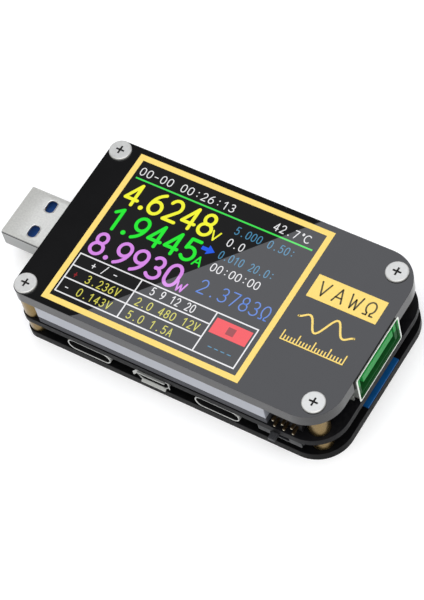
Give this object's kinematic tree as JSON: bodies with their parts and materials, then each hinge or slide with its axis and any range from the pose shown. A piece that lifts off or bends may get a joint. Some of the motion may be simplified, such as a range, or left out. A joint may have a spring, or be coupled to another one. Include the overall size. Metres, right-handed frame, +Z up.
{
  "type": "usb power meter",
  "caption": "Inline USB power meter: smoked front panel over a colour display and circuit board on brass standoffs, with USB-A plug and socket, side ports, pin header, slide switch and keys.",
  "frame": {"origin": "centre of the back plate's underside, midway between the plates' ends and sides", "axes": "+X from the USB-A plug to the USB-A socket, -Y towards the side with the small ports, +Z up from the back plate to the front panel"},
  "size_m": [0.0835, 0.0417, 0.0163],
  "materials": {
    "panel_black": "smoked acrylic, polished",
    "board_black": "black solder mask",
    "plate_black": "black laminate, satin",
    "screw_steel": "bright zinc plate",
    "standoff_brass": "turned brass",
    "display_silver": "silver-grey moulding",
    "display_glass": "dark display glass",
    "spacer_grey": "dark grey foam",
    "ribbon_amber": "amber flexible circuit",
    "connector_ivory": "ivory moulding",
    "plug_steel": "satin nickel plate",
    "plug_blue": "blue moulding",
    "socket_steel": "bright nickel plate",
    "socket_green": "green moulding",
    "pad_blue": "blue insulating sheet",
    "port_steel": "nickel plate",
    "port_black": "black moulding",
    "switch_metal": "dark plated steel",
    "knob_grey": "dark grey moulding",
    "header_black": "black moulding",
    "pin_gold": "gold flash",
    "key_metal": "pressed steel frame",
    "key_black": "black moulding",
    "chip_black": "moulded package",
    "resistor_black": "coated ceramic",
    "inductor_grey": "pressed ferrite"
  },
  "bodies": {
    "chassis": {"front_panel": "panel_black", "main_board": "board_black", "back_plate": "plate_black", "front_screw_1": "screw_steel", "front_screw_2": "screw_steel", "front_screw_3": "screw_steel", "front_screw_4": "screw_steel", "upper_standoff_1": "standoff_brass", "upper_standoff_2": "standoff_brass", "upper_standoff_3": "standoff_brass", "upper_standoff_4": "standoff_brass", "lower_standoff_1": "standoff_brass", "lower_standoff_2": "standoff_brass", "lower_standoff_3": "standoff_brass", "lower_standoff_4": "standoff_brass", "back_screw_1": "screw_steel", "back_screw_2": "screw_steel", "back_screw_3": "screw_steel", "back_screw_4": "screw_steel", "display_spacer": "spacer_grey", "display_frame": "display_silver", "display_glass": "display_glass", "display_ribbon": "ribbon_amber", "ribbon_connector": "connector_ivory", "usb_a_plug_shell": "plug_steel", "usb_a_plug_insulator": "plug_blue", "usb_a_socket_shell": "socket_steel", "usb_a_socket_insulator": "socket_green", "socket_end_pad": "pad_blue", "usb_c_shell_1": "port_steel", "usb_c_shell_2": "port_steel", "usb_c_tongue_1": "port_black", "usb_c_tongue_2": "port_black", "micro_usb_shell": "port_steel", "micro_usb_tongue": "port_black", "slide_switch_body": "switch_metal", "pin_header_housing": "header_black", "header_pin_1": "pin_gold", "header_pin_2": "pin_gold", "header_pin_3": "pin_gold", "header_pin_4": "pin_gold", "header_pin_5": "pin_gold", "header_pin_6": "pin_gold", "key_body_1": "key_metal", "key_body_2": "key_metal", "key_body_3": "key_metal", "key_body_4": "key_metal", "controller_chip": "chip_black", "sensing_chip": "chip_black", "shunt_resistor": "resistor_black", "supply_inductor": "inductor_grey"},
    "mode_knob": {"slide_switch_knob": "knob_grey"},
    "key_1": {"key_cap_1": "key_black"},
    "key_2": {"key_cap_2": "key_black"},
    "key_3": {"key_cap_3": "key_black"},
    "key_4": {"key_cap_4": "key_black"}
  },
  "joints": [
    {"name": "mode_slide", "type": "slide", "parent": "chassis", "child": "mode_knob", "axis": [1, 0, 0], "range_m": [0, 0.002]},
    {"name": "key_1_press", "type": "slide", "parent": "chassis", "child": "key_1", "axis": [0, -1, 0], "range_m": [0, 0.0003], "stiffness_N_per_m": 2500},
    {"name": "key_2_press", "type": "slide", "parent": "chassis", "child": "key_2", "axis": [0, -1, 0], "range_m": [0, 0.0003], "stiffness_N_per_m": 2500},
    {"name": "key_3_press", "type": "slide", "parent": "chassis", "child": "key_3", "axis": [0, -1, 0], "range_m": [0, 0.0003], "stiffness_N_per_m": 2500},
    {"name": "key_4_press", "type": "slide", "parent": "chassis", "child": "key_4", "axis": [0, -1, 0], "range_m": [0, 0.0003], "stiffness_N_per_m": 2500}
  ]
}
